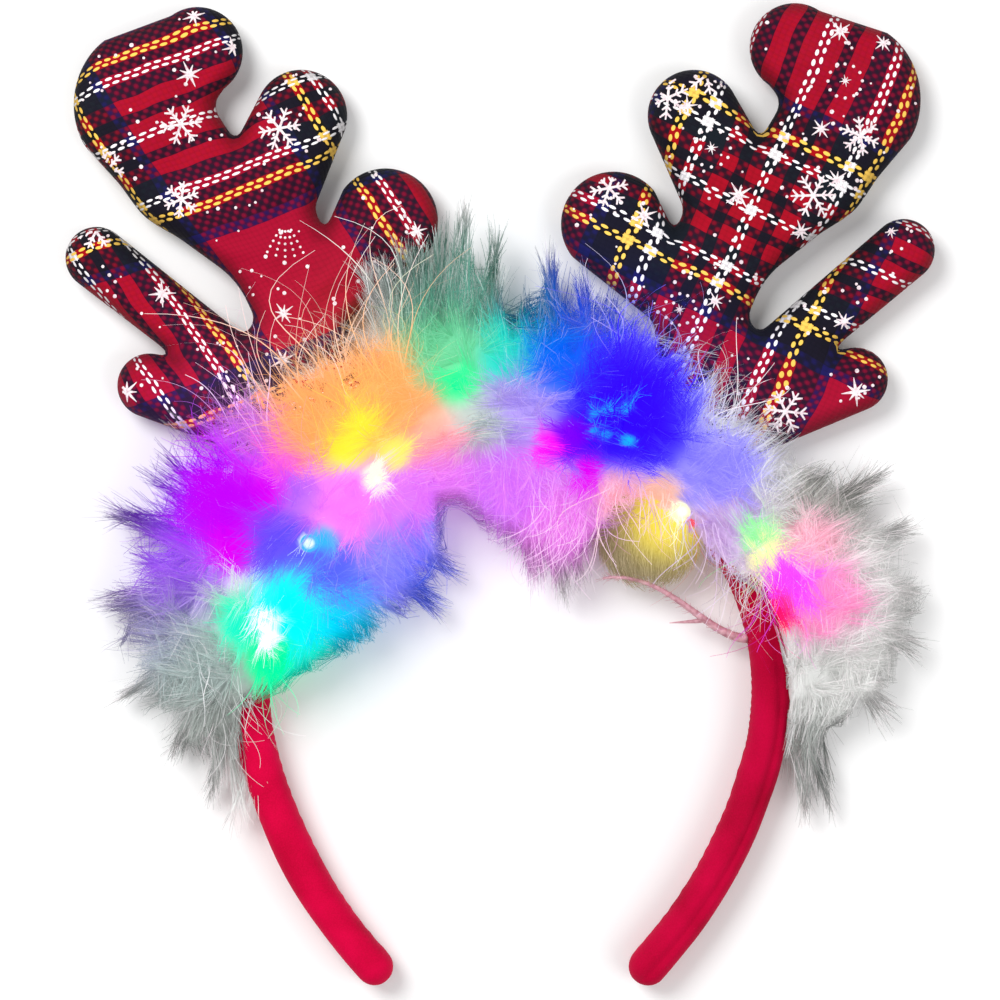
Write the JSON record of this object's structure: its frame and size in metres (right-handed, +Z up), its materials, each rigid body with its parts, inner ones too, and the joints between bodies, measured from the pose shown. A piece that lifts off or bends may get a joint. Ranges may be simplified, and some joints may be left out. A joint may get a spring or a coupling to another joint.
{
  "type": "light-up reindeer antler headband",
  "caption": "Padded open hair hoop carrying stuffed plaid reindeer antlers and a fluffy white feather boa with small coloured light bulbs along its crown.",
  "frame": {"origin": "on the table under the middle of the headband, which lies on its back", "axes": "+X to the right as seen from the front, +Y from the hoop's open ends to the antler tops, +Z up from the table towards the front"},
  "size_m": [0.2226, 0.252, 0.0336],
  "materials": {
    "tartan": "coarse red tartan weave, matt",
    "band_cloth": "red napped cloth",
    "feather": "white down",
    "led_cyan": "lit clear lens",
    "led_magenta": "lit clear lens",
    "led_blue": "lit clear lens",
    "led_white": "lit clear lens",
    "led_yellow": "lit clear lens",
    "led_green": "lit clear lens"
  },
  "bodies": {
    "root": {"head_band": "band_cloth", "antler_left": "tartan", "antler_right": "tartan", "feather_boa": "feather", "led_1": "led_cyan", "led_2": "led_magenta", "led_3": "led_blue", "led_4": "led_white", "led_5": "led_yellow", "led_6": "led_green", "led_7": "led_magenta", "led_8": "led_blue", "led_9": "led_yellow", "led_10": "led_green", "led_11": "led_magenta", "loose_feather": "feather"}
  },
  "joints": []
}
